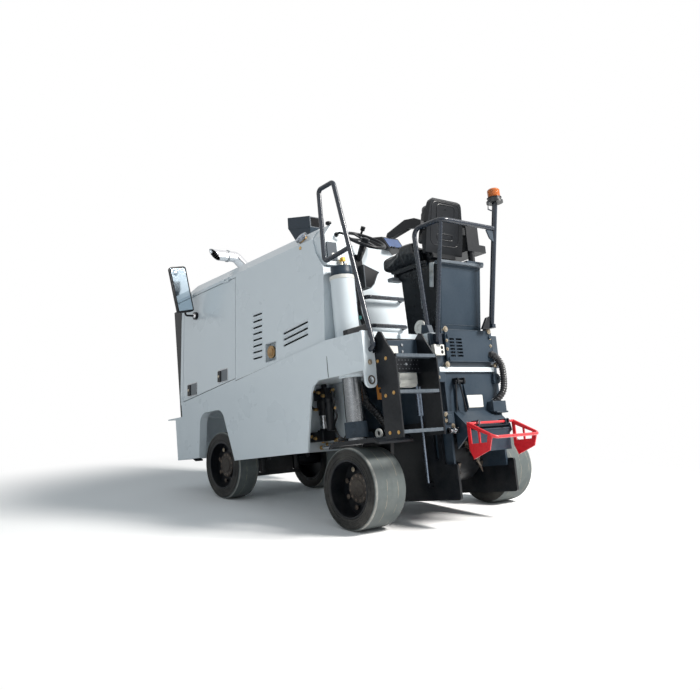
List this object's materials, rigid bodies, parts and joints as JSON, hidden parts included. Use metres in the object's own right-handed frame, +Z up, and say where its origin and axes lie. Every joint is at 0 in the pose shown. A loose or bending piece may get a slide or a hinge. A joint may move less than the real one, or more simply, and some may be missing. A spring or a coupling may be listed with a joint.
{
  "type": "cold planer milling machine",
  "caption": "Small road milling machine on solid tyres with a cutting drum between rear lifting columns, an engine hood ahead and an open operator's seat behind.",
  "frame": {"origin": "on the ground, at the middle of the machine's box in plan", "axes": "+X forward, +Y to the machine's left, +Z up; the body leans 8.38 degrees nose-down because the rear columns are extended"},
  "size_m": [3.3508, 2.0654, 2.4482],
  "materials": {
    "body_paint": "semi-gloss white",
    "dark_paint": "satin dark slate",
    "black_paint": "satin black",
    "rail_paint": "satin blue-black",
    "red_paint": "gloss red",
    "tyre": "worn solid rubber",
    "rim_paint": "satin black",
    "steel": "bare steel",
    "cast": "cast iron",
    "chrome": "polished",
    "seat_pad": "black vinyl",
    "seat_plastic": "textured black",
    "orange_lens": "clear orange",
    "mirror_black": "black shell",
    "rubber_hose": "black hose",
    "pick_steel": "worn tool steel"
  },
  "bodies": {
    "machine": {"main_frame": "body_paint", "hood": "body_paint", "tank_caps": "steel", "radiator_grille": "black_paint", "engine_block": "cast", "front_axle": "black_paint", "lift_column_left": "body_paint", "lift_column_right": "body_paint", "milling_chamber": "dark_paint", "skirt_cylinders": "black_paint", "discharge_hood": "dark_paint", "rear_cover": "dark_paint", "seat_pedestal": "dark_paint", "seat_cushion": "seat_pad", "seat_back_pad": "seat_pad", "seat_shell": "seat_plastic", "control_console": "seat_plastic", "instrument_panel": "seat_plastic", "steering_column": "seat_plastic", "knee_rails": "rail_paint", "rear_rail": "rail_paint", "beacon_lens": "orange_lens", "left_handrail": "rail_paint", "ladder": "black_paint", "exhaust_pipe": "chrome", "air_intake": "dark_paint", "hydraulics": "rubber_hose"},
    "hood_door_left": {"hood_door_left": "body_paint", "mirror": "mirror_black"},
    "hood_door_right": {"hood_door_right": "body_paint"},
    "knuckle_left": {"knuckle_left": "black_paint"},
    "knuckle_right": {"knuckle_right": "black_paint"},
    "front_wheel_left": {"tyre_front_left": "tyre", "rim_front_left": "rim_paint"},
    "front_wheel_right": {"tyre_front_right": "tyre", "rim_front_right": "rim_paint"},
    "lift_leg_left": {"lift_leg_left": "steel"},
    "lift_leg_right": {"lift_leg_right": "steel"},
    "rear_wheel_left": {"tyre_rear_left": "tyre", "rim_rear_left": "rim_paint"},
    "rear_wheel_right": {"tyre_rear_right": "tyre", "rim_rear_right": "rim_paint"},
    "milling_drum": {"milling_drum": "pick_steel"},
    "skirt_left": {"skirt_left": "black_paint"},
    "skirt_right": {"skirt_right": "black_paint"},
    "scraper_door": {"scraper_door": "dark_paint"},
    "guard_frame": {"guard_frame": "red_paint"},
    "steering_wheel": {"steering_wheel": "seat_plastic"}
  },
  "joints": [
    {"name": "steer_left", "type": "hinge", "parent": "machine", "child": "knuckle_left", "pos_m": [0.741, 0.447, 0.2795], "axis": [0.1457, 0, 0.9893], "range_deg": [-25, 25]},
    {"name": "steer_right", "type": "hinge", "parent": "machine", "child": "knuckle_right", "pos_m": [0.741, 0.027, 0.2795], "axis": [0.1457, 0, 0.9893], "range_deg": [-25, 25]},
    {"name": "front_wheel_left_spin", "type": "hinge", "parent": "knuckle_left", "child": "front_wheel_left", "pos_m": [0.741, 0.742, 0.2795], "axis": [0, 1, 0], "continuous": true},
    {"name": "front_wheel_right_spin", "type": "hinge", "parent": "knuckle_right", "child": "front_wheel_right", "pos_m": [0.741, -0.268, 0.2795], "axis": [0, 1, 0], "continuous": true},
    {"name": "lift_left", "type": "slide", "parent": "machine", "child": "lift_leg_left", "axis": [0.1457, 0, 0.9893], "range_m": [0, 0.3]},
    {"name": "lift_right", "type": "slide", "parent": "machine", "child": "lift_leg_right", "axis": [0.1457, 0, 0.9893], "range_m": [0, 0.3]},
    {"name": "rear_wheel_left_spin", "type": "hinge", "parent": "lift_leg_left", "child": "rear_wheel_left", "pos_m": [-0.965, 0.684, 0.2795], "axis": [0, 1, 0], "continuous": true},
    {"name": "rear_wheel_right_spin", "type": "hinge", "parent": "lift_leg_right", "child": "rear_wheel_right", "pos_m": [-0.82, -0.89, 0.2795], "axis": [0, 1, 0], "continuous": true},
    {"name": "drum_spin", "type": "hinge", "parent": "machine", "child": "milling_drum", "pos_m": [-0.90756, -0.103, 0.46359], "axis": [0, 1, 0], "continuous": true},
    {"name": "skirt_left_lift", "type": "slide", "parent": "machine", "child": "skirt_left", "axis": [0.1457, 0, 0.9893], "range_m": [0, 0.2]},
    {"name": "skirt_right_lift", "type": "slide", "parent": "machine", "child": "skirt_right", "axis": [0.1457, 0, 0.9893], "range_m": [0, 0.2]},
    {"name": "scraper_door_swing", "type": "hinge", "parent": "machine", "child": "scraper_door", "pos_m": [-1.41764, -0.103, 0.66508], "axis": [0, 1, 0], "range_deg": [0, 75]},
    {"name": "guard_frame_swing", "type": "hinge", "parent": "machine", "child": "guard_frame", "pos_m": [-1.4341, -0.103, 0.71805], "axis": [0, 1, 0], "range_deg": [0, 70]},
    {"name": "hood_door_left_swing", "type": "hinge", "parent": "machine", "child": "hood_door_left", "pos_m": [1.0584, 0.75858, 1.80136], "axis": [0.9893, 0, -0.1457], "range_deg": [0, 60]},
    {"name": "hood_door_right_swing", "type": "hinge", "parent": "machine", "child": "hood_door_right", "pos_m": [1.0584, -0.36458, 1.80136], "axis": [-0.9893, 0, 0.1457], "range_deg": [0, 75]},
    {"name": "steering_wheel_turn", "type": "hinge", "parent": "machine", "child": "steering_wheel", "pos_m": [-0.30771, 0.097, 2.13401], "axis": [-0.4636, 0, 0.886], "continuous": true}
  ],
  "couplings": [
    {"joint": "steer_right", "follows": "steer_left", "ratio": 1}
  ]
}
